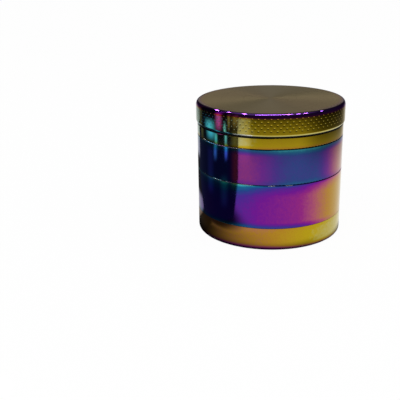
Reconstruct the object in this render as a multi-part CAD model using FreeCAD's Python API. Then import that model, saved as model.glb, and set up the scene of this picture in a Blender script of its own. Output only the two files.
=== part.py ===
import FreeCAD, Part
import math
import os

# Hand grinder for herbs, made of five round sections stacked on one another.
# Millimetres, +Z up, origin at the centre of the underside. Every section is turned about Z.

# Outside of the stack, from the bottom up
body_diameter = 62.2
lid_overhang = 0.4
catcher_height = 9.6
sifting_height = 18.4
collecting_height = 14.7
grinding_height = 4.7
lid_height = 9.3

# Outer edges
lid_edge_radius = 1.5
lid_lip_radius = 1.0
base_edge_radius = 1.3
edge_round = 0.3
tight_edge_round = 0.12

# Screwed joints: plain cylinders at the roots of the two threads
socket_wall = 2.3
socket_runout = 0.4
thread_depth = 0.5
thread_clearance = 0.15
spigot_length = 4.4
spigot_wall = 1.5
spigot_chamfer = 0.4

# Chambers, screens and the rings that hold the screens up
socket_step = 1.0
funnel_rise = 1.8
ledge_width = 1.4
ledge_thickness = 1.4
coarse_screen_thickness = 0.4
fine_screen_thickness = 0.3
screen_fit = 0.08
screen_ring_height = 1.5
screen_ring_recess = 0.8
catcher_floor = 1.8
bowl_round = 2.0

# Lid, its skirt and the slip ring it turns on
lid_top_thickness = 2.6
lid_wall = 2.3
lid_clearance = 0.3
sleeve_thickness = 0.6
sleeve_fit = 0.05
sleeve_gap = 1.5
flange_thickness = 0.3
flange_inset = 0.7
neck_wall = 1.9
neck_gap = 0.8

# Tooth plate, teeth, drop holes and magnets
plate_thickness = 2.4
magnet_diameter = 10.0
magnet_thickness = 1.5
magnet_fit = 0.06
magnet_gap = 0.6
post_wall = 1.2
tooth_counts = (6, 8, 10, 12)
tooth_length = 4.6
tooth_tip_gap = 0.8
tooth_tip_scale = 0.78
tooth_root_depth = 0.6
lane_clearance = 0.6
wall_gap = 1.4
hole_diameter = 3.0

# Heights of the seams
sifting_bottom = catcher_height
collecting_bottom = sifting_bottom + sifting_height
grinding_bottom = collecting_bottom + collecting_height
band_top = grinding_bottom + grinding_height
lid_bottom = band_top + flange_thickness
lid_top = lid_bottom + lid_height
lid_underside = lid_top - lid_top_thickness
plate_top = grinding_bottom + plate_thickness
neck_top = lid_underside - neck_gap
meeting_height = (plate_top + lid_underside) / 2

# Radii from the outside in
body_radius = body_diameter / 2
socket_radius = body_radius - socket_wall
spigot_radius = socket_radius - thread_depth - thread_clearance
spigot_bore = spigot_radius - spigot_wall
chamber_radius = socket_radius - socket_step
ledge_radius = spigot_bore - ledge_width
lid_radius = body_radius + lid_overhang
skirt_bore = lid_radius - lid_wall
sleeve_radius = skirt_bore - lid_clearance
sleeve_bore = sleeve_radius - sleeve_thickness
neck_radius = sleeve_bore - sleeve_fit
neck_bore = neck_radius - neck_wall
magnet_radius = magnet_diameter / 2
pocket_radius = magnet_radius + magnet_fit
post_radius = pocket_radius + post_wall

# Tooth lanes: lid and plate take turns from the centre out, so the lid turns freely
lane_pitch = (neck_bore - wall_gap - post_radius - lane_clearance) / len(tooth_counts)
tooth_width = lane_pitch - lane_clearance

origin = FreeCAD.Vector(0, 0, 0)
up = FreeCAD.Vector(0, 0, 1)


def rounded_corner(before, corner, after, radius):
    """Start, middle and end of the arc that rounds a corner of a profile."""
    back = (before - corner).normalize()
    on = (after - corner).normalize()
    half_angle = back.getAngle(on) / 2
    start = corner + back * (radius / math.tan(half_angle))
    end = corner + on * (radius / math.tan(half_angle))
    inward = (back + on).normalize()
    middle = corner + inward * (radius / math.sin(half_angle) - radius)
    return start, middle, end


def turned(profile, rounds=()):
    """Solid of revolution of a closed (radius, height) profile; rounds pairs corner numbers with radii."""
    corners = [FreeCAD.Vector(radius, 0, height) for radius, height in profile]
    rounds = dict(rounds)
    edges = []
    ends = []
    for number, corner in enumerate(corners):
        if number in rounds:
            before = corners[number - 1]
            after = corners[(number + 1) % len(corners)]
            start, middle, end = rounded_corner(before, corner, after, rounds[number])
            edges.append(Part.Arc(start, middle, end).toShape())
            ends.append((start, end))
        else:
            ends.append((corner, corner))
    for number in range(len(corners)):
        edges.append(Part.makeLine(ends[number - 1][1], ends[number][0]))
    face = Part.Face(Part.Wire(Part.__sortEdges__(edges)))
    return face.revolve(origin, up, 360)


def tube(outer_radius, inner_radius, bottom, top):
    """Plain ring of rectangular section."""
    return turned([(inner_radius, bottom), (outer_radius, bottom), (outer_radius, top), (inner_radius, top)])


def disc(radius, bottom, top):
    """Plain disc."""
    return Part.makeCylinder(radius, top - bottom, origin + up * bottom)


def lane_radius(lane):
    """Middle radius of a tooth lane, counted from the centre."""
    return post_radius + lane_clearance + tooth_width / 2 + lane * lane_pitch


def around(shape, count, offset):
    """Copies of a shape spread evenly round the axis, starting at an offset in degrees."""
    copies = []
    for index in range(count):
        copy = shape.copy()
        copy.rotate(origin, up, offset + 360 * index / count)
        copies.append(copy)
    return copies


def diamond(radius, height, scale):
    """Diamond outline of a tooth: long across the radius, so that its sharp edges lead."""
    half_width = scale * tooth_width / 2
    half_length = scale * tooth_length / 2
    corners = [(-half_width, 0), (0, -half_length), (half_width, 0), (0, half_length), (-half_width, 0)]
    return Part.makePolygon([FreeCAD.Vector(radius + x, y, height) for x, y in corners])


def tooth_ring(lane, root, tip):
    """Tapered diamond teeth of one lane, with a gap between two of them on the X axis."""
    radius = lane_radius(lane)
    sunk = root - math.copysign(tooth_root_depth, tip - root)
    outlines = [diamond(radius, sunk, 1), diamond(radius, root, 1), diamond(radius, tip, tooth_tip_scale)]
    tooth = Part.makeLoft(outlines, True, True)
    return around(tooth, tooth_counts[lane], 180 / tooth_counts[lane])


def drop_holes():
    """Holes of the tooth plate, one between every two teeth and along the lid's own lanes."""
    holes = []
    for lane, count in enumerate(tooth_counts):
        hole = disc(hole_diameter / 2, grinding_bottom - plate_thickness, plate_top + plate_thickness)
        hole.translate(FreeCAD.Vector(lane_radius(lane), 0, 0))
        holes += around(hole, count, 0)
    return holes


def lid():
    """Cap with a skirt over the neck, a magnet boss and the lid's two rings of teeth."""
    boss_bottom = meeting_height + magnet_gap / 2
    pocket_top = boss_bottom + magnet_thickness
    cap = turned([
        (0, lid_top), (lid_radius, lid_top), (lid_radius, lid_bottom),
        (skirt_bore, lid_bottom), (skirt_bore, lid_underside),
        (post_radius, lid_underside), (post_radius, boss_bottom),
        (pocket_radius, boss_bottom), (pocket_radius, pocket_top), (0, pocket_top),
    ], [(1, lid_edge_radius), (2, lid_lip_radius)])
    teeth = []
    for lane in range(0, len(tooth_counts), 2):
        teeth += tooth_ring(lane, lid_underside, plate_top + tooth_tip_gap)
    return cap.multiFuse(teeth)


def grinding_chamber():
    """Outer band, neck, holed tooth plate with its post, and the spigot below."""
    spigot_end = grinding_bottom - spigot_length
    post_top = meeting_height - magnet_gap / 2
    pocket_floor = post_top - magnet_thickness
    bowl = turned([
        (0, grinding_bottom), (spigot_bore, grinding_bottom),
        (spigot_bore, spigot_end), (spigot_radius - spigot_chamfer, spigot_end),
        (spigot_radius, spigot_end + spigot_chamfer), (spigot_radius, grinding_bottom),
        (body_radius, grinding_bottom), (body_radius, band_top),
        (neck_radius, band_top), (neck_radius, neck_top), (neck_bore, neck_top), (neck_bore, plate_top),
        (post_radius, plate_top), (post_radius, post_top),
        (pocket_radius, post_top), (pocket_radius, pocket_floor), (0, pocket_floor),
    ], [(6, edge_round), (7, edge_round), (9, edge_round)])
    teeth = []
    for lane in range(1, len(tooth_counts), 2):
        teeth += tooth_ring(lane, plate_top, lid_underside - tooth_tip_gap)
    return bowl.cut(Part.makeCompound(drop_holes())).multiFuse(teeth)


def ring_bottom(shoulder):
    """Underside of the screen ring in the spigot below a shoulder."""
    return shoulder - spigot_length + screen_ring_recess


def screen_chamber(shoulder, height, screen_thickness, lower_round):
    """Open chamber: spigot and screen ledge below, funnel floor, socket at the top."""
    top = shoulder + height
    spigot_end = shoulder - spigot_length
    socket_floor = top - spigot_length - socket_runout
    seat = ring_bottom(shoulder) + screen_ring_height + screen_thickness
    ledge_top = seat + ledge_thickness
    return turned([
        (ledge_radius, seat), (spigot_bore, seat),
        (spigot_bore, spigot_end), (spigot_radius - spigot_chamfer, spigot_end),
        (spigot_radius, spigot_end + spigot_chamfer), (spigot_radius, shoulder),
        (body_radius, shoulder), (body_radius, top),
        (socket_radius, top), (socket_radius, socket_floor),
        (chamber_radius, socket_floor), (chamber_radius, ledge_top + funnel_rise),
        (ledge_radius, ledge_top),
    ], [(6, lower_round), (7, edge_round)])


def screen(shoulder, thickness):
    """Sifting screen, laid against the underside of the ledge."""
    bottom = ring_bottom(shoulder) + screen_ring_height
    return disc(spigot_bore - screen_fit, bottom, bottom + thickness)


def screen_ring(shoulder):
    """Ring that holds a screen up against its ledge."""
    bottom = ring_bottom(shoulder)
    return tube(spigot_bore - screen_fit, ledge_radius, bottom, bottom + screen_ring_height)


def powder_catcher():
    """Shallow dish with a socket at its rim; the bowl's round fits under the socket floor."""
    socket_floor = catcher_height - spigot_length - socket_runout
    bowl_corner = min(bowl_round, socket_floor - catcher_floor - edge_round)
    return turned([
        (0, 0), (body_radius, 0), (body_radius, catcher_height),
        (socket_radius, catcher_height), (socket_radius, socket_floor),
        (chamber_radius, socket_floor), (chamber_radius, catcher_floor), (0, catcher_floor),
    ], [(1, base_edge_radius), (2, tight_edge_round), (6, bowl_corner)])


def friction_ring():
    """Slip ring: a flange under the lid's lip and a sleeve round the neck."""
    flange_radius = body_radius - flange_inset
    sleeve_top = neck_top - sleeve_gap
    return turned([
        (sleeve_bore, band_top), (flange_radius, band_top), (flange_radius, lid_bottom),
        (sleeve_radius, lid_bottom), (sleeve_radius, sleeve_top), (sleeve_bore, sleeve_top),
    ])


def magnet(bottom):
    """Disc magnet."""
    return disc(magnet_radius, bottom, bottom + magnet_thickness)


nodes = {
    "lid": lid(),
    "lid_magnet": magnet(meeting_height + magnet_gap / 2),
    "friction_ring": friction_ring(),
    "grinding_chamber": grinding_chamber(),
    "plate_magnet": magnet(meeting_height - magnet_gap / 2 - magnet_thickness),
    "collecting_chamber": screen_chamber(
        collecting_bottom, collecting_height, coarse_screen_thickness, edge_round),
    "coarse_screen": screen(collecting_bottom, coarse_screen_thickness),
    "coarse_screen_ring": screen_ring(collecting_bottom),
    "sifting_chamber": screen_chamber(
        sifting_bottom, sifting_height, fine_screen_thickness, tight_edge_round),
    "fine_screen": screen(sifting_bottom, fine_screen_thickness),
    "fine_screen_ring": screen_ring(sifting_bottom),
    "powder_catcher": powder_catcher(),
}

os.makedirs("parts", exist_ok=True)
for name, shape in nodes.items():
    shape.exportStep(f"parts/{name}.step")
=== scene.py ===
import math
from collections import namedtuple

import bmesh
import bpy
from mathutils import Matrix, Vector


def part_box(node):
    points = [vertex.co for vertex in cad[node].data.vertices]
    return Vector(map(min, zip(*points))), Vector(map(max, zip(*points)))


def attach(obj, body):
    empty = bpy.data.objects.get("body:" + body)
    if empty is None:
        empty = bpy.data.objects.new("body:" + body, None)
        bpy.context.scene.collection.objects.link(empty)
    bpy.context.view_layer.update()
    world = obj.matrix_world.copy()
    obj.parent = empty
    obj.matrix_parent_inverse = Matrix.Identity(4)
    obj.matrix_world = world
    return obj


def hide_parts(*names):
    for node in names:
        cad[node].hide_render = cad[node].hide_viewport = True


# Rainbow-plated hand grinder for herbs, standing on a white table.
# The scene is in metres. Sizes here are in millimetres, and azimuths in degrees from the front towards +X.

MM = 0.001

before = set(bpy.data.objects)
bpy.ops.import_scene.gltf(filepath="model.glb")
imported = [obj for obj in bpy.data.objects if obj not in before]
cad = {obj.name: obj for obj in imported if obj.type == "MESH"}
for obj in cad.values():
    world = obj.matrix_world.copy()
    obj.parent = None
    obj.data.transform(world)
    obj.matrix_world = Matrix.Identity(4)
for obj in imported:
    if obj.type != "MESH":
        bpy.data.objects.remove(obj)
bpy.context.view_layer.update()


def lowest(node):
    """Height of a solid's underside."""
    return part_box(node)[0].z / MM


def highest(node):
    """Height of a solid's top."""
    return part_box(node)[1].z / MM


def widest(node):
    """Outer radius of a turned solid."""
    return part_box(node)[1].x / MM


# Outside of the object
lid_radius = widest("lid")
lid_top = highest("lid")
lid_edge_radius = 1.5
lid_face_radius = lid_radius - lid_edge_radius
slip_flange = 0.3
band_top = lowest("friction_ring")
lid_bottom = band_top + slip_flange
lip_height = 48.3
body_radius = widest("powder_catcher")
band_bottom = highest("collecting_chamber")
collecting_bottom = highest("sifting_chamber")
sifting_bottom = highest("powder_catcher")

# Grip band of the lid: staggered rows of small pressed dots
dot_rows = 5
dots_per_row = 80
dot_row_pitch = 1.18
lowest_dot_row = 50.15
dot_radius = 0.24
dot_depth = 0.075
grip_rise = 0.08
grip_radius = lid_radius + grip_rise
grip_bottom = 48.75
grip_edge = 0.1
grip_slope = 0.55
grip_sink = 0.05
grip_top_sink = 0.15

# A dot from its border to its middle: shares of its radius and of its depth
dot_profile = ((1.15, 0.0), (1.0, 0.05), (0.8, 0.4), (0.48, 0.86))

# Threads of the three screwed joints
socket_wall = 2.3
thread_clearance = 0.15
thread_pitch = 2.0
thread_depth = 0.5
thread_foot = 1.0
thread_crest = 0.3
thread_sink = 0.05
thread_margin = 0.9
thread_run_in = 40.0
thread_end_width = 0.25
steps_per_turn = 120
spigot_length = sifting_bottom - lowest("sifting_chamber")
socket_radius = body_radius - socket_wall
spigot_radius = socket_radius - thread_depth - thread_clearance

# Woven screens; a wire's own radius and the swing of its waves are shares of its thickness
screen_radius = 26.4
coarse_wire_pitch = 1.3
coarse_wire = 0.36
fine_wire_pitch = 0.9
fine_wire = 0.26
wire_corners = 5
wire_radius_share = 0.42
wire_swing_share = 0.4
fewest_crossings = 2

# Interference colours of the plating over one order of film thickness; the last meets the first again
film_colours = (
    (0.00, (0.47, 0.46, 0.20)),
    (0.10, (0.44, 0.32, 0.008)),
    (0.24, (0.42, 0.21, 0.02)),
    (0.35, (0.38, 0.085, 0.14)),
    (0.44, (0.27, 0.022, 0.20)),
    (0.53, (0.15, 0.010, 0.26)),
    (0.63, (0.065, 0.022, 0.26)),
    (0.72, (0.018, 0.055, 0.24)),
    (0.81, (0.010, 0.13, 0.25)),
    (0.90, (0.05, 0.38, 0.42)),
    (1.00, (0.47, 0.46, 0.20)),
)

# Heights between which the colours of the lid's side fade
edge_zone = (lid_top - 2.5, lid_top - 0.9)
dotted_zone = (grip_bottom, grip_bottom + 0.5)
lip_zone = (grip_bottom - 0.05, grip_bottom - 0.3)

# Noises of the finishes: scale, detail, roughness
cloud_noise = (38.0, 3.0, 0.55)
face_cloud_noise = (30.0, 3.0, 0.55)
grain_noise = (900.0, 2.0, 0.6)
edge_patch_noise = (260.0, 3.0, 0.6)
smudge_noise = (90.0, 4.0, 0.6)
turning_noise = (1.0, 3.0, 0.6)
face_turning_noise = (2.6, 4.0, 0.7)
turning_stretch = (8.0, 8.0, 5200.0)
grain_share = 0.08

# Other colours of the plating, painted shade for its seams, and bare edges: partly worn, partly painted
# glints
veil_colour = (0.05, 0.07, 0.055, 1.0)
olive_colour = (0.18, 0.15, 0.105, 1.0)
bare_colour = (0.80, 0.79, 0.75, 1.0)
# Painted shade: the colour that darkens the seams between the sections
seam_shade_colour = (0.012, 0.009, 0.006, 1.0)
edge_glance = (0.5, 0.45, 0.5, 1.0)
face_glance = (0.52, 0.50, 0.44, 1.0)
face_olive = 0.86
olive_edge = 0.24
olive_blend = 0.14
# Bare strips along outer edges: partly real wear, partly painted glints
bare_edge_width = 0.4
bare_edge_depth = (0.45, 0.25)
bare_edge_roughness = 0.4
bore_radius = 29.25
inside_wear = 0.4
inside_roughness = 0.2

# Camera
camera_place = (0.0, -299.85, 117.3)
camera_yaw = -5.86
camera_pitch = 19.5
camera_roll = -1.08
camera_lens = 63.88
camera_sensor = 36.0
camera_near_clip = 10.0

# Soft lamps: name, place, width, depth, strength
lamp_target = (0.0, 0.0, 30.0)
soft_lamps = (
    ("lamp_front", (-250.0, -420.0, 620.0), 420.0, 300.0, 3.0),
    ("lamp_right", (520.0, -120.0, 420.0), 300.0, 300.0, 2.0),
)

# Small lamps that leave dashes of light on the lid's edge: azimuth of the dash, width of its lamp
glint_dashes = (
    (-42.5, 200.0), (-31.0, 90.0), (-18.5, 150.0), (1.5, 470.0),
    (13.5, 60.0), (20.5, 75.0), (26.5, 100.0), (40.5, 40.0),
)
glint_tilt = 50.0
glint_distance = 700.0
glint_depth = 40.0
glint_strength = 55.0

# White room, and its brightness as polished metal shows it; directions are parts of a unit vector
room_light = 0.8
room_in_mirror = 0.065
window_in_mirror = 0.70
ceiling_in_mirror = 0.55
window_sill = (0.08, 0.2)
window_head = (0.6, 0.35)
window_side = (0.36, 0.2)
window_ahead = (0.3, 0.7)
ceiling_rise = (0.72, 0.92)
deep_bounces = (2.2, 2.8)
deep_light = 0.9

# Table, and from where to where its zones fade as polished metal shows them
table_half = 3000.0
table_drop = 0.02
table_colour = (0.9, 0.9, 0.9, 1.0)
table_whiteness = 0.96
contact_zone = (body_radius - 1.0, 41.0)
right_contact_zone = (body_radius - 1.0, 36.0)
contact_level = 0.05
far_zone = (135.0, 290.0)
right_far_zone = (110.0, 230.0)
left_glow_zone = (142.0, 182.0)
behind_front_y = (-32.0, -12.0)
beside_x = (-14.0, -42.0)
beside_back_x = (-16.0, -29.0)
beside_y = (-62.0, -44.0)
cleared_y = (45.0, 75.0)
cleared_zone = (122.0, 140.0)
rim_y = (5.0, 12.0)
rim_zone = (70.0, 58.0)
close_zone = (36.0, 48.0)
foot_zone = (40.0, 60.0)

# Dark glowing card beside the object, a painted reflection seen only in mirrors: its lower ends, and its
# outline as shares of its length with heights
card_front = (-33.1, -46.6, 0.0)
card_back = (-45.0, 14.0, 0.0)
card_outline = (
    (0.1, 3.4), (0.72, 3.4), (1.0, 20.0), (1.0, 40.0),
    (0.82, 46.0), (0.82, 75.0), (0.0, 75.0), (0.0, 22.0),
)
card_colour = (0.025, 0.03, 0.06, 1.0)
patch_foot_fade = 5.0
patch_head_fade = 2.0

# Coloured glowing patches on the card, painted reflections: y, reach, bottom, top, colour
card_patches = (
    (-20.0, 500.0, 36.0, 80.0, (0.006, 0.006, 0.012)),
    (0.0, 6.0, 36.0, 80.0, (0.12, 0.10, 0.05)),
    (-16.0, 8.0, 38.5, 48.0, (0.15, 0.85, 1.50)),
    (-15.0, 6.0, 14.0, 36.0, (0.06, 0.07, 0.17)),
    (-21.8, 2.2, 36.0, 43.0, (0.18, 0.85, 1.20)),
    (-20.9, 2.4, 30.0, 37.0, (0.50, 1.50, 1.70)),
    (-25.8, 4.6, 43.0, 80.0, (0.80, 0.11, 0.70)),
    (-32.0, 1.8, 36.0, 47.0, (0.26, 0.90, 1.50)),
    (-32.2, 2.2, 30.0, 37.0, (1.00, 1.70, 2.80)),
    (-36.2, 2.2, 43.0, 80.0, (0.24, 0.19, 0.09)),
    (-44.0, 6.5, 43.0, 80.0, (0.26, 0.20, 0.10)),
    (-43.0, 7.5, 15.0, 43.0, (0.14, 0.13, 0.06)),
    (-30.0, 6.0, 8.0, 24.0, (0.05, 0.16, 0.14)),
)

# Place on a piece: coordinates in metres, the rest in millimetres and the azimuth in radians
Spot = namedtuple("Spot", "vector x y height radius azimuth")

# Section of the stack: its body, its finish in the record and its material
Section = namedtuple("Section", "body slot material")


def put(tree, socket, value):
    """Link or set an input of a shader node."""
    if isinstance(value, bpy.types.NodeSocket):
        tree.links.new(value, socket)
    else:
        socket.default_value = value


def calc(tree, operation, *values):
    """Result of a maths node."""
    node = tree.nodes.new("ShaderNodeMath")
    node.operation = operation
    for socket, value in zip(node.inputs, values):
        put(tree, socket, value)
    return node.outputs[0]


def product(tree, *values):
    """Values multiplied together."""
    result = values[0]
    for value in values[1:]:
        result = calc(tree, "MULTIPLY", result, value)
    return result


def total(tree, base, *terms):
    """Base plus weighted terms, each (weight, value)."""
    result = base
    for weight, value in terms:
        result = calc(tree, "MULTIPLY_ADD", value, weight, result)
    return result


def without(tree, value, share=1.0):
    """1 less a share of a value."""
    return total(tree, 1.0, (-share, value))


def fade(tree, value, start, end, at_start=0.0, at_end=1.0):
    """Smooth step from one level to another while the value goes from start to end."""
    node = tree.nodes.new("ShaderNodeMapRange")
    node.interpolation_type = "SMOOTHSTEP"
    for name, number in (("From Min", start), ("From Max", end), ("To Min", at_start), ("To Max", at_end)):
        node.inputs[name].default_value = number
    put(tree, node.inputs["Value"], value)
    return node.outputs["Result"]


def near(tree, value, level, reach):
    """1 at a level, fading to 0 within a reach."""
    return fade(tree, calc(tree, "ABSOLUTE", calc(tree, "SUBTRACT", value, level)), 0.0, reach, 1.0, 0.0)


def swing(tree, azimuth, turns, facing):
    """Wave round the axis with its crest at an azimuth."""
    angle = calc(tree, "SUBTRACT", azimuth, math.radians(facing))
    return calc(tree, "COSINE", calc(tree, "MULTIPLY", angle, float(turns)))


def streak(tree, azimuth, facing, reach):
    """1 at an azimuth, fading to 0 within a reach to either side."""
    return fade(tree, swing(tree, azimuth, 1, facing), math.cos(math.radians(reach)), 1.0)


def noise(tree, vector, scale, detail, rough):
    """Noise around 0.5."""
    node = tree.nodes.new("ShaderNodeTexNoise")
    put(tree, node.inputs["Vector"], vector)
    node.inputs["Scale"].default_value = scale
    node.inputs["Detail"].default_value = detail
    node.inputs["Roughness"].default_value = rough
    return node.outputs["Fac"]


def uneven(tree, vector, scale, detail, rough):
    """Noise around 0."""
    return calc(tree, "SUBTRACT", noise(tree, vector, scale, detail, rough), 0.5)


def stretched(tree, vector, scale):
    """Coordinates scaled by a different amount along each axis."""
    node = tree.nodes.new("ShaderNodeMapping")
    put(tree, node.inputs["Vector"], vector)
    node.inputs["Scale"].default_value = scale
    return node.outputs["Vector"]


def ramp(tree, value, stops):
    """Colours blended along a few stops."""
    node = tree.nodes.new("ShaderNodeValToRGB")
    put(tree, node.inputs["Fac"], value)
    elements = node.color_ramp.elements
    while len(elements) < len(stops):
        elements.new(0.5)
    for element, (place, colour) in zip(elements, stops):
        element.position = place
        element.color = (*colour, 1.0)
    return node.outputs["Color"]


def blended(tree, first, second, share):
    """Two colours mixed by a share of the second."""
    node = tree.nodes.new("ShaderNodeMix")
    node.data_type = "RGBA"
    put(tree, node.inputs["Factor"], share)
    put(tree, node.inputs["A"], first)
    put(tree, node.inputs["B"], second)
    return node.outputs["Result"]


def split_axes(tree, vector):
    """X, Y and Z of a vector."""
    node = tree.nodes.new("ShaderNodeSeparateXYZ")
    tree.links.new(vector, node.inputs[0])
    return node.outputs


def place_on_object(tree):
    """Coordinates that travel with the piece."""
    vector = tree.nodes.new("ShaderNodeTexCoord").outputs["Object"]
    x, y, height = (calc(tree, "MULTIPLY", axis, 1 / MM) for axis in split_axes(tree, vector))
    radius = calc(tree, "SQRT", calc(tree, "ADD", product(tree, x, x), product(tree, y, y)))
    azimuth = calc(tree, "ARCTAN2", x, calc(tree, "MULTIPLY", y, -1.0))
    return Spot(vector, x, y, height, radius, azimuth)


def empty_tree(owner):
    """Node tree of a material or world, with nothing in it."""
    owner.use_nodes = True
    owner.node_tree.nodes.clear()
    return owner.node_tree


def show(tree, shader, output="ShaderNodeOutputMaterial"):
    """Link a shader to the output of its tree."""
    tree.links.new(shader.outputs[0], tree.nodes.new(output).inputs["Surface"])


def new_material(name):
    """Material with one Principled shader."""
    material = bpy.data.materials.new(name)
    tree = empty_tree(material)
    shader = tree.nodes.new("ShaderNodeBsdfPrincipled")
    show(tree, shader)
    return material, tree, shader


def bumped(tree, shader, height, strength, depth):
    """Fine relief of a surface."""
    bump = tree.nodes.new("ShaderNodeBump")
    bump.inputs["Strength"].default_value = strength
    bump.inputs["Distance"].default_value = depth * MM
    tree.links.new(height, bump.inputs["Height"])
    tree.links.new(bump.outputs["Normal"], shader.inputs["Normal"])


def lid_film(tree, spot):
    """Gold side, paler in the dots and along the lip as a painted highlight, greenish at the left, violet
    round edge.
    """
    edge = fade(tree, spot.height, *edge_zone)
    dented = fade(tree, spot.radius, grip_radius, grip_radius - dot_depth)
    dots = product(tree, dented, fade(tree, spot.height, *dotted_zone))
    lip = fade(tree, spot.height, *lip_zone)
    # Painted highlight: the dents and the lip are given a paler colour
    pale = calc(tree, "MAXIMUM", dots, lip)
    left = product(tree, streak(tree, spot.azimuth, -62, 62), without(tree, edge))
    back = streak(tree, spot.azimuth, 165, 80)
    return total(tree, 0.12, (0.53, edge), (-0.08, pale), (-0.16, left), (0.25, back))


def grinding_film(tree, spot):
    """Gold with an orange lower fringe, paler and greenish at the left."""
    fringe = near(tree, spot.height, band_bottom, 1.6)
    left = streak(tree, spot.azimuth, -62, 62)
    back = streak(tree, spot.azimuth, 150, 80)
    return total(tree, 0.125, (0.13, fringe), (-0.17, left), (0.30, back))


def collecting_film(tree, spot):
    """Blue, with magenta at the front left, rose at the right, and teal along both edges."""
    low = near(tree, spot.height, collecting_bottom, 2.6)
    high = near(tree, spot.height, band_bottom, 3.2)
    front = fade(tree, spot.azimuth, math.radians(-34), math.radians(-26))
    fading = fade(tree, spot.azimuth, math.radians(18), math.radians(-18))
    left = product(tree, front, fading, without(tree, high, 0.6))
    right = product(tree, streak(tree, spot.azimuth, 86, 50), without(tree, high, 0.7))
    back = streak(tree, spot.azimuth, 170, 70)
    return total(tree, 0.69, (-0.22, left), (-0.40, right), (-0.50, back), (0.07, low), (0.18, high))


def sifting_film(tree, spot):
    """Violet at the left to rose and tan at the right, blue along both edges and in a wedge."""
    wave = swing(tree, spot.azimuth, 1, 100)
    left = streak(tree, spot.azimuth, -30, 24)
    right = streak(tree, spot.azimuth, 82, 62)
    low = product(tree, near(tree, spot.height, sifting_bottom, 2.6), without(tree, right, 0.8))
    high = near(tree, spot.height, collecting_bottom, 5.5)
    line = near(tree, spot.height, collecting_bottom, 1.5)
    blue = product(tree, high, calc(tree, "MINIMUM", total(tree, 0.23, (-0.15, wave)), 0.14))
    deep = near(tree, spot.height, collecting_bottom, 11.0)
    wedge = product(tree, deep, streak(tree, spot.azimuth, -38, 46))
    order = total(tree, 0.48, (-0.14, wave), (-0.18, right), (0.04, left), (0.10, wedge))
    return total(tree, order, (0.2, low), (1.0, blue), (0.1, line))


def catcher_film(tree, spot):
    """Pale gold at the right to orange at the front and left, with a purple foot."""
    right = streak(tree, spot.azimuth, 80, 90)
    high = near(tree, spot.height, sifting_bottom, 2.6)
    foot = near(tree, spot.height, 0.0, 2.6)
    return total(tree, 0.255, (-0.2, right), (0.03, high), (0.38, foot))


def film_colour(tree, spot, film, drift):
    """Interference colour at a place, clouded and a little grainy."""
    clouds = uneven(tree, spot.vector, *cloud_noise)
    grain = uneven(tree, spot.vector, *grain_noise)
    order = total(tree, film(tree, spot), (drift, clouds), (grain_share, grain))
    return ramp(tree, calc(tree, "FRACT", order), film_colours)


def bare_edges_and_glints(tree, spot, places):
    """Share of bare metal along outer edges, each at a height and an azimuth, within a reach: partly real
    wear, partly painted glints.
    """
    patchy = fade(tree, noise(tree, spot.vector, *edge_patch_noise), 0.3, 0.5)
    outside = fade(tree, spot.radius, *(body_radius - depth for depth in bare_edge_depth))
    patchy_rim = product(tree, patchy, outside)
    share = 0.0
    for height, facing, reach in places:
        along = fade(tree, streak(tree, spot.azimuth, facing, reach), 0.0, 0.4)
        wear_and_glint = product(tree, near(tree, spot.height, height, bare_edge_width), along, patchy_rim)
        share = calc(tree, "MAXIMUM", wear_and_glint, share)
    return share


def inner_walls(tree, spot):
    """1 on the walls inside a section."""
    return product(tree, fade(tree, spot.radius, bore_radius + 0.1, bore_radius),
                   fade(tree, spot.height, 0.5, 1.0))


def plating(name, film, roughness, drift, veil=0.0, shaded_seams=(), worn_and_glint_places=(), olive_above=None):
    """Polished metal in film colours, veiled in grey, with painted shade in the seams and bare edges, partly
    worn and partly painted glints.
    """
    material, tree, shader = new_material(name)
    spot = place_on_object(tree)
    colour = blended(tree, film_colour(tree, spot, film, drift), veil_colour, veil)
    # Painted shade: the colour is darkened near each seam's height
    for level, reach in shaded_seams:
        seam_shade = fade(tree, near(tree, spot.height, level, reach), 0.1, 0.6)
        colour = blended(tree, colour, seam_shade_colour, seam_shade)
    # Bare metal on the edges: partly real wear, partly painted glints
    wear_and_glint = bare_edges_and_glints(tree, spot, worn_and_glint_places)
    inside = inner_walls(tree, spot)
    colour = blended(tree, colour, bare_colour, wear_and_glint)
    colour = blended(tree, colour, bare_colour, product(tree, inside, inside_wear))
    if olive_above:
        olive = fade(tree, spot.height, olive_above, olive_above + olive_blend)
        colour = blended(tree, colour, olive_colour, olive)
        shader.inputs["Specular Tint"].default_value = edge_glance
    put(tree, shader.inputs["Base Color"], colour)
    shader.inputs["Metallic"].default_value = 1.0
    spots = noise(tree, spot.vector, *smudge_noise)
    smudges = fade(tree, spots, 0.35, 0.75, roughness, roughness * 1.9)
    dull = total(tree, smudges, (bare_edge_roughness, wear_and_glint), (inside_roughness, inside))
    put(tree, shader.inputs["Roughness"], dull)
    marks = noise(tree, stretched(tree, spot.vector, turning_stretch), *turning_noise)
    bumped(tree, shader, marks, 0.12, 0.01)
    return material


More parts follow.
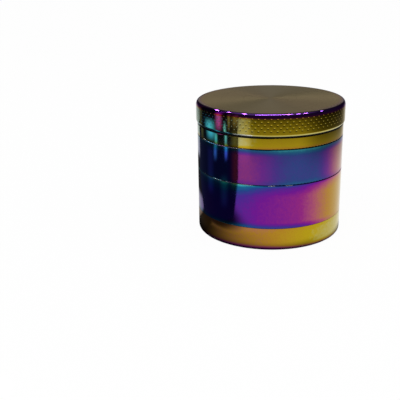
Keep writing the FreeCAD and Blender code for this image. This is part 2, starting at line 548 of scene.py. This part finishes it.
def spun_face(name):
    """Turned top of the lid: olive with a hint of gold over fine concentric marks, rose at its rim."""
    material, tree, shader = new_material(name)
    spot = place_on_object(tree)
    wave = swing(tree, spot.azimuth, 2, 35)
    ring = fade(tree, spot.radius, lid_face_radius - 2.0, lid_face_radius + 0.4)
    clouds = uneven(tree, spot.vector, *face_cloud_noise)
    order = total(tree, 0.19, (0.04, wave), (0.24, ring), (0.12, clouds))
    colour = blended(tree, ramp(tree, order, film_colours), olive_colour, face_olive)
    put(tree, shader.inputs["Base Color"], colour)
    shader.inputs["Metallic"].default_value = 1.0
    shader.inputs["Specular Tint"].default_value = face_glance
    shader.inputs["Anisotropic"].default_value = 0.75
    tangent = tree.nodes.new("ShaderNodeTangent")
    tangent.direction_type = "RADIAL"
    tangent.axis = "Z"
    tree.links.new(tangent.outputs["Tangent"], shader.inputs["Tangent"])
    line = tree.nodes.new("ShaderNodeCombineXYZ")
    tree.links.new(spot.radius, line.inputs["X"])
    marks = noise(tree, line.outputs[0], *face_turning_noise)
    put(tree, shader.inputs["Roughness"], fade(tree, marks, 0.3, 0.7, 0.26, 0.36))
    bumped(tree, shader, marks, 0.5, 0.02)
    return material


def steel(name, colour, roughness, grain):
    """Bare metal with a fine uneven grain."""
    material, tree, shader = new_material(name)
    spots = noise(tree, place_on_object(tree).vector, grain, 4.0, 0.6)
    dark = tuple(0.7 * part for part in colour)
    put(tree, shader.inputs["Base Color"], ramp(tree, spots, ((0.3, dark), (0.7, colour))))
    shader.inputs["Metallic"].default_value = 1.0
    put(tree, shader.inputs["Roughness"], fade(tree, spots, 0.3, 0.7, roughness, 1.5 * roughness))
    return material


def plastic(name, colour, roughness):
    """Slippery moulded plastic."""
    material, tree, shader = new_material(name)
    spots = noise(tree, place_on_object(tree).vector, 260.0, 3.0, 0.6)
    light = tuple(1.6 * part for part in colour)
    put(tree, shader.inputs["Base Color"], ramp(tree, spots, ((0.3, colour), (0.75, light))))
    put(tree, shader.inputs["Roughness"], fade(tree, spots, 0.3, 0.7, roughness, 1.3 * roughness))
    return material


def dress(piece, slot, *materials):
    """Give a piece its materials; its slot, the finish of the record, is not used."""
    piece.data.materials.clear()
    for material in materials:
        piece.data.materials.append(material)


def polar(radius, angle, height):
    """Point at a radius, an angle in radians and a height."""
    return Vector((radius * math.cos(angle), radius * math.sin(angle), height)) * MM


def join_rings(mesh, first, second):
    """Belt of faces between two closed rings with equally many points."""
    for place in range(len(first)):
        after = (place + 1) % len(first)
        mesh.faces.new((first[place], first[after], second[after], second[place]))


def skin(mesh, sections):
    """Closed surface over a row of sections with equally many points."""
    rings = [[mesh.verts.new(point) for point in section] for section in sections]
    for first, second in zip(rings, rings[1:]):
        join_rings(mesh, first, second)
    for end in (rings[0], rings[-1]):
        mesh.faces.new(end)


def mesh_piece(name, mesh, section):
    """Object of a new mesh that moves with a section and has its finish."""
    bmesh.ops.recalc_face_normals(mesh, faces=mesh.faces)
    mesh.normal_update()
    data = bpy.data.meshes.new(name)
    mesh.to_mesh(data)
    mesh.free()
    piece = bpy.data.objects.new(name, data)
    bpy.context.collection.objects.link(piece)
    dress(piece, section.slot, section.material)
    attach(piece, section.body)
    return piece


def pressed_dot(mesh, border, angle, height):
    """Faces of one round dent, from the border points of its cell inwards."""
    outer = border
    for share, sunk in dot_profile:
        radius = grip_radius - sunk * dot_depth
        ring = []
        for corner in range(len(border)):
            turn = 2 * math.pi * corner / len(border) - 0.75 * math.pi
            across = share * dot_radius * math.cos(turn) / lid_radius
            lift = share * dot_radius * math.sin(turn)
            ring.append(mesh.verts.new(polar(radius, angle + across, height + lift)))
        join_rings(mesh, outer, ring)
        outer = ring
    mesh.faces.new(outer)


def dotted_face(mesh, turns, levels):
    """Outer face of the grip band, chequered with plain cells and dotted ones; returns its end rows."""
    grid = [[mesh.verts.new(polar(grip_radius, turn, level)) for turn in turns] for level in levels]
    for row in range(dot_rows):
        low, middle, high = grid[2 * row:2 * row + 3]
        for left in range(0, len(turns), 2):
            right = (left + 2) % len(turns)
            border = [low[left], low[left + 1], low[right], middle[right],
                      high[right], high[left + 1], high[left], middle[left]]
            if (row + left // 2) % 2:
                mesh.faces.new(border)
            else:
                pressed_dot(mesh, border, turns[left + 1], levels[2 * row + 1])
    for face in mesh.faces:
        face.smooth = True
    return grid[0], grid[-1]


def grip_band(lid):
    """Thin raised band round the lid with a dotted face; its back is sunk into the lid's side."""
    mesh = bmesh.new()
    points = 4 * dots_per_row
    turns = [2 * math.pi * place / points for place in range(points)]
    bottom = lowest_dot_row - dot_row_pitch / 2
    levels = [bottom + level * dot_row_pitch / 2 for level in range(2 * dot_rows + 1)]
    rim, top_rim = dotted_face(mesh, turns, levels)
    back = (
        (grip_radius, grip_bottom),
        (lid_radius - grip_sink, grip_bottom - grip_edge),
        (lid_radius - grip_top_sink, levels[-1] + grip_slope),
    )
    for radius, height in back:
        ring = [mesh.verts.new(polar(radius, turn, height)) for turn in turns]
        join_rings(mesh, rim, ring)
        rim = ring
    join_rings(mesh, rim, top_rim)
    return mesh_piece("lid_grip_band", mesh, lid)


def thread_section(root_radius, outward, angle, height, grown):
    """Corners of a ridge at one place; it grows from nothing at its ends."""
    width = thread_end_width + (1.0 - thread_end_width) * grown
    half_foot = thread_foot / 2 * width
    half_crest = thread_crest / 2 * width
    foot = root_radius - outward * thread_sink
    crest = root_radius + outward * thread_depth * grown
    corners = ((foot, -half_foot), (crest, -half_crest), (crest, half_crest), (foot, half_foot))
    return [polar(radius, angle, height + offset) for radius, offset in corners]


def thread(name, section, root_radius, outward, shoulder, lead):
    """Right-hand helical ridge on a spigot (outward 1) or in a socket (outward -1), below a shoulder."""
    start = shoulder - spigot_length + thread_margin
    turns = (shoulder - thread_margin - start) / thread_pitch
    steps = round(turns * steps_per_turn)
    sections = []
    for step in range(steps + 1):
        swept = 360.0 * step / steps_per_turn
        left = 360.0 * (steps - step) / steps_per_turn
        grown = min(1.0, min(swept, left) / thread_run_in)
        height = start + thread_pitch * swept / 360.0
        angle = math.radians(swept + lead)
        sections.append(thread_section(root_radius, outward, angle, height, grown))
    mesh = bmesh.new()
    skin(mesh, sections)
    return mesh_piece(name, mesh, section)


def screwed_joint(lower, upper, shoulder):
    """Ridges on the spigot of the upper section and in the socket of the lower one, half a pitch apart."""
    thread(f"{upper.body}_spigot_thread", upper, spigot_radius, 1, shoulder, 0.0)
    thread(f"{lower.body}_socket_thread", lower, socket_radius, -1, shoulder, 180.0)


def wire_section(place, across, height, thickness, crosswise):
    """Corners of a round wire at one place."""
    radius = wire_radius_share * thickness
    corners = []
    for corner in range(wire_corners):
        angle = 2 * math.pi * corner / wire_corners
        side = across + radius * math.cos(angle)
        lift = height + radius * math.sin(angle)
        spot = (side, place, lift) if crosswise else (place, side, lift)
        corners.append(Vector(spot) * MM)
    return corners


def woven_wire(mesh, number, pitch, thickness, middle, crosswise):
    """One wire of a plain weave, over and under the wires that it crosses."""
    across = number * pitch
    half_step = pitch / 2
    reach = math.sqrt(max(screen_radius ** 2 - across ** 2, 0.0))
    crossings = int(reach / half_step)
    if crossings < fewest_crossings:
        return
    sections = []
    for step in range(-crossings, crossings + 1):
        place = step * half_step
        wave = math.cos(math.pi * (place / pitch + number + crosswise))
        height = middle + wave * wire_swing_share * thickness
        sections.append(wire_section(place, across, height, thickness, crosswise))
    skin(mesh, sections)


def woven_screen(node, chamber, pitch, thickness, wire):
    """Plain weave of round wires, cut to a disc, that stands for a plain screen in a chamber."""
    middle = (lowest(node) + highest(node)) / 2
    count = int(screen_radius / pitch)
    mesh = bmesh.new()
    for crosswise in (0, 1):
        for number in range(-count, count + 1):
            woven_wire(mesh, number, pitch, thickness, middle, crosswise)
    for face in mesh.faces:
        face.smooth = True
    piece = mesh_piece(f"{node}_weave", mesh, Section(chamber, "screen_wire", wire))
    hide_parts(node)
    return piece


def dress_lid(side, edge, top):
    """Plated side and inside, polished round edge, turned top face."""
    lid = cad["lid"]
    dress(lid, "lid_plating", side, edge, top)
    for face in lid.data.polygons:
        height = face.center.z / MM
        if face.normal.z > 0.999 and height > lid_top - 0.01:
            face.material_index = 2
        elif height > lid_top - lid_edge_radius:
            face.material_index = 1
        else:
            face.material_index = 0


def make_sections():
    """Sections of the stack with their plating, by name."""
    # Bare strips on the rim: partly real wear, partly painted glints
    rim_wear_and_glints = [(collecting_bottom, *spread) for spread in ((-42, 7), (-18, 7), (2, 3), (15, 3))]
    side = plating("lid_side_plating", lid_film, roughness=0.06, drift=0.10,
                   shaded_seams=[(lid_bottom, 0.55)], worn_and_glint_places=[(lip_height, -20, 9)])
    band = plating("grinding_plating", grinding_film, roughness=0.06, drift=0.05,
                   shaded_seams=[(band_bottom, 0.4), (band_top, 0.3)])
    upper = plating("collecting_plating", collecting_film, roughness=0.08, drift=0.06, veil=0.2,
                    shaded_seams=[(band_bottom, 0.3)], worn_and_glint_places=[(band_bottom, -39, 28)])
    lower = plating("sifting_plating", sifting_film, roughness=0.08, drift=0.06, worn_and_glint_places=rim_wear_and_glints)
    base = plating("catcher_plating", catcher_film, roughness=0.09, drift=0.06)
    return {
        "lid": Section("lid", "lid_plating", side),
        "grinding": Section("grinding_chamber", "grinding_plating", band),
        "collecting": Section("collecting_chamber", "collecting_plating", upper),
        "sifting": Section("sifting_chamber", "sifting_plating", lower),
        "catcher": Section("powder_catcher", "catcher_plating", base),
    }


def dress_solids(sections):
    """Finishes of the solids that show."""
    edge = plating("lid_edge_plating", lid_film, roughness=0.04, drift=0.05, veil=0.25,
                   olive_above=lid_top - olive_edge)
    dress_lid(sections["lid"].material, edge, spun_face("lid_face_plating"))
    for name in ("grinding", "collecting", "sifting", "catcher"):
        section = sections[name]
        dress(cad[section.body], section.slot, section.material)
    dress(cad["friction_ring"], "slip_ring", plastic("slip_ring", (0.016, 0.016, 0.018), 0.4))
    nickel = steel("magnet_nickel", (0.70, 0.69, 0.66), 0.18, 240.0)
    for name in ("lid_magnet", "plate_magnet"):
        dress(cad[name], "magnet", nickel)
    ring = steel("screen_ring", (0.64, 0.63, 0.60), 0.28, 300.0)
    for name in ("coarse_screen_ring", "fine_screen_ring"):
        dress(cad[name], "screen_ring", ring)


def add_fine_pieces(sections):
    """Grip band, threads and screens, which the solids leave out."""
    grip_band(sections["lid"])
    screwed_joint(sections["catcher"], sections["sifting"], sifting_bottom)
    screwed_joint(sections["sifting"], sections["collecting"], collecting_bottom)
    screwed_joint(sections["collecting"], sections["grinding"], band_bottom)
    wire = steel("screen_wire", (0.60, 0.59, 0.56), 0.25, 700.0)
    woven_screen("coarse_screen", "collecting_chamber", coarse_wire_pitch, coarse_wire, wire)
    woven_screen("fine_screen", "sifting_chamber", fine_wire_pitch, fine_wire, wire)


def make_camera():
    """Camera of the photo."""
    yaw, pitch, roll = (math.radians(angle) for angle in (camera_yaw, camera_pitch, camera_roll))
    level = math.cos(pitch)
    forward = Vector((math.sin(yaw) * level, math.cos(yaw) * level, -math.sin(pitch)))
    right = Vector((math.cos(yaw), -math.sin(yaw), 0.0))
    up = right.cross(forward)
    tilted_right = right * math.cos(roll) + up * math.sin(roll)
    tilted_up = up * math.cos(roll) - right * math.sin(roll)
    turn = Matrix((tilted_right, tilted_up, -forward)).transposed()
    data = bpy.data.cameras.new("camera")
    data.lens = camera_lens
    data.sensor_width = camera_sensor
    data.clip_start = camera_near_clip * MM
    camera = bpy.data.objects.new("camera", data)
    bpy.context.collection.objects.link(camera)
    camera.matrix_world = Matrix.Translation(Vector(camera_place) * MM) @ turn.to_4x4()
    bpy.context.scene.camera = camera
    return camera


def of_ray(tree, fact):
    """Fact about the arriving ray: 1 if it is of a kind, or its depth."""
    return tree.nodes.new("ShaderNodeLightPath").outputs[fact]


def stage_plane(name, corners, material):
    """Flat piece of the stage."""
    mesh = bpy.data.meshes.new(name)
    mesh.from_pydata([Vector(corner) * MM for corner in corners], [], [tuple(range(len(corners)))])
    mesh.materials.append(material)
    piece = bpy.data.objects.new(name, mesh)
    bpy.context.collection.objects.link(piece)
    return piece


def open_table(tree, spot):
    """Brightness of the table in a mirror: dark at the object's foot, white around it, dim far off."""
    right = streak(tree, spot.azimuth, 85, 75)
    contact = fade(tree, spot.radius, *contact_zone, contact_level, 1.0)
    right_contact = fade(tree, spot.radius, *right_contact_zone, contact_level, 1.0)
    contact = calc(tree, "MAXIMUM", contact, product(tree, right, right_contact))
    behind = streak(tree, spot.azimuth, 180, 55)
    far_off = product(tree, fade(tree, spot.radius, *far_zone), without(tree, behind))
    dim_right = product(tree, streak(tree, spot.azimuth, 105, 65), fade(tree, spot.radius, *right_far_zone))
    left_glow = product(tree, streak(tree, spot.azimuth, -36, 12), fade(tree, spot.radius, *left_glow_zone))
    level = product(tree, contact, without(tree, far_off, 0.9), without(tree, dim_right, 0.8))
    return total(tree, level, (0.35, left_glow))


def shade_beside(tree, spot):
    """Share of shade on the table in a mirror, along the card."""
    back = fade(tree, spot.y, *behind_front_y)
    beside = product(tree, back, fade(tree, spot.x, *beside_back_x))
    beside = calc(tree, "MAXIMUM", fade(tree, spot.x, *beside_x), beside)
    cleared = product(tree, fade(tree, spot.y, *cleared_y), fade(tree, spot.radius, *cleared_zone))
    at_rim = product(tree, fade(tree, spot.y, *rim_y), fade(tree, spot.radius, *rim_zone))
    kept = total(tree, 1.0, (-0.75, cleared), (-0.6, at_rim))
    close = calc(tree, "MAXIMUM", fade(tree, spot.radius, *close_zone), back)
    return product(tree, beside, fade(tree, spot.y, *beside_y), kept, close)


def shade_at_foot(tree, spot):
    """Share of shade on the table in a mirror, between the card and the object's foot."""
    left = calc(tree, "MAXIMUM", total(tree, 0.26, (0.74, swing(tree, spot.azimuth, 1, -75))), 0.0)
    apart = fade(tree, spot.radius, *foot_zone)
    return product(tree, calc(tree, "POWER", left, 2.5), without(tree, apart))


def make_table():
    """White table with a faint shadow."""
    material = bpy.data.materials.new("stage_floor")
    tree = empty_tree(material)
    spot = place_on_object(tree)
    shade = calc(tree, "MAXIMUM", shade_beside(tree, spot), shade_at_foot(tree, spot))
    in_mirror = product(tree, open_table(tree, spot), without(tree, shade, 0.97))
    seen = of_ray(tree, "Is Camera Ray")
    mirrored = of_ray(tree, "Is Glossy Ray")
    diffuse = tree.nodes.new("ShaderNodeBsdfDiffuse")
    diffuse.inputs["Color"].default_value = table_colour
    glow = tree.nodes.new("ShaderNodeEmission")
    put(tree, glow.inputs["Strength"], calc(tree, "MAXIMUM", seen, in_mirror))
    mix = tree.nodes.new("ShaderNodeMixShader")
    put(tree, mix.inputs["Fac"], calc(tree, "MAXIMUM", product(tree, seen, table_whiteness), mirrored))
    tree.links.new(diffuse.outputs[0], mix.inputs[1])
    tree.links.new(glow.outputs[0], mix.inputs[2])
    show(tree, mix)
    corners = [(x * table_half, y * table_half, -table_drop) for x, y in ((-1, -1), (1, -1), (1, 1), (-1, 1))]
    return stage_plane("stage_floor", corners, material)


def make_world():
    """White room: for mirrors a bright window at the back, a softer ceiling, and dim elsewhere."""
    world = bpy.data.worlds.new("room")
    bpy.context.scene.world = world
    tree = empty_tree(world)
    side, ahead, rise = split_axes(tree, tree.nodes.new("ShaderNodeTexCoord").outputs["Generated"])
    side = calc(tree, "ABSOLUTE", side)
    window = product(tree, fade(tree, rise, *window_sill), fade(tree, rise, *window_head),
                     fade(tree, side, *window_side), fade(tree, ahead, *window_ahead))
    ceiling = fade(tree, rise, *ceiling_rise)
    in_mirror = total(tree, room_in_mirror, (window_in_mirror, window), (ceiling_in_mirror, ceiling))
    deep = fade(tree, of_ray(tree, "Ray Depth"), *deep_bounces, 0.0, deep_light)
    in_mirror = calc(tree, "MAXIMUM", in_mirror, deep)
    dimmed = calc(tree, "SUBTRACT", in_mirror, room_light)
    level = total(tree, room_light, (dimmed, of_ray(tree, "Is Glossy Ray")),
                  (1.0 - room_light, of_ray(tree, "Is Camera Ray")))
    light = tree.nodes.new("ShaderNodeBackground")
    light.inputs["Color"].default_value = (1.0, 1.0, 1.0, 1.0)
    put(tree, light.inputs["Strength"], level)
    show(tree, light, "ShaderNodeOutputWorld")


def area_lamp(name, place, target, width, depth, strength):
    """Soft rectangular lamp aimed at a point; strength is its brightness as a mirror shows it."""
    data = bpy.data.lights.new(name, "AREA")
    data.shape = "RECTANGLE"
    data.size = width * MM
    data.size_y = depth * MM
    data.energy = strength * math.pi * data.size * data.size_y
    lamp = bpy.data.objects.new(name, data)
    bpy.context.collection.objects.link(lamp)
    aim = (Vector(target) - Vector(place)).to_track_quat("-Z", "Y")
    lamp.matrix_world = Matrix.Translation(Vector(place) * MM) @ aim.to_matrix().to_4x4()
    lamp.visible_camera = False
    return lamp


def glint_lamp(name, azimuth, width):
    """Lamp that the lid's round edge shows to the camera at an azimuth, where it tilts up by an angle."""
    turn, rise = math.radians(azimuth), math.radians(glint_tilt)
    outward = Vector((math.sin(turn), -math.cos(turn), 0.0))
    normal = outward * math.cos(rise) + Vector((0.0, 0.0, math.sin(rise)))
    spot = outward * lid_radius + Vector((0.0, 0.0, lid_top))
    view = (Vector(camera_place) - spot).normalized()
    away = 2 * normal.dot(view) * normal - view
    lamp = area_lamp(name, spot + glint_distance * away, spot, width, glint_depth, glint_strength)
    lamp.visible_diffuse = False
    return lamp


def make_lights():
    """Large soft lamps overhead, and a row of small ones that leave dashes along the lid's edge."""
    for name, place, width, depth, strength in soft_lamps:
        lamp = area_lamp(name, place, lamp_target, width, depth, strength)
        lamp.visible_glossy = False
    for index, (azimuth, width) in enumerate(glint_dashes):
        glint_lamp(f"lamp_glint_{index}", azimuth, width)


def make_card():
    """Dark card at the left that glows with coloured patches, a painted reflection seen only by mirrors."""
    material = bpy.data.materials.new("stage_flag")
    tree = empty_tree(material)
    spot = place_on_object(tree)
    colour = card_colour
    for place, reach, bottom, top, tint in card_patches:
        foot = fade(tree, spot.height, bottom, bottom + patch_foot_fade)
        head = fade(tree, spot.height, top + patch_head_fade, top - patch_head_fade)
        share = product(tree, near(tree, spot.y, place, reach), foot, head)
        colour = blended(tree, colour, (*tint, 1.0), share)
    glow = tree.nodes.new("ShaderNodeEmission")
    put(tree, glow.inputs["Color"], colour)
    show(tree, glow)
    front, back = Vector(card_front), Vector(card_back)
    corners = [front.lerp(back, share) + Vector((0.0, 0.0, height)) for share, height in card_outline]
    card = stage_plane("stage_flag", corners, material)
    card.visible_camera = False
    card.visible_diffuse = False
    card.visible_shadow = False
    return card


bpy.context.scene.view_settings.view_transform = "Standard"
stack = make_sections()
dress_solids(stack)
add_fine_pieces(stack)
make_camera()
make_table()
make_world()
make_lights()
make_card()
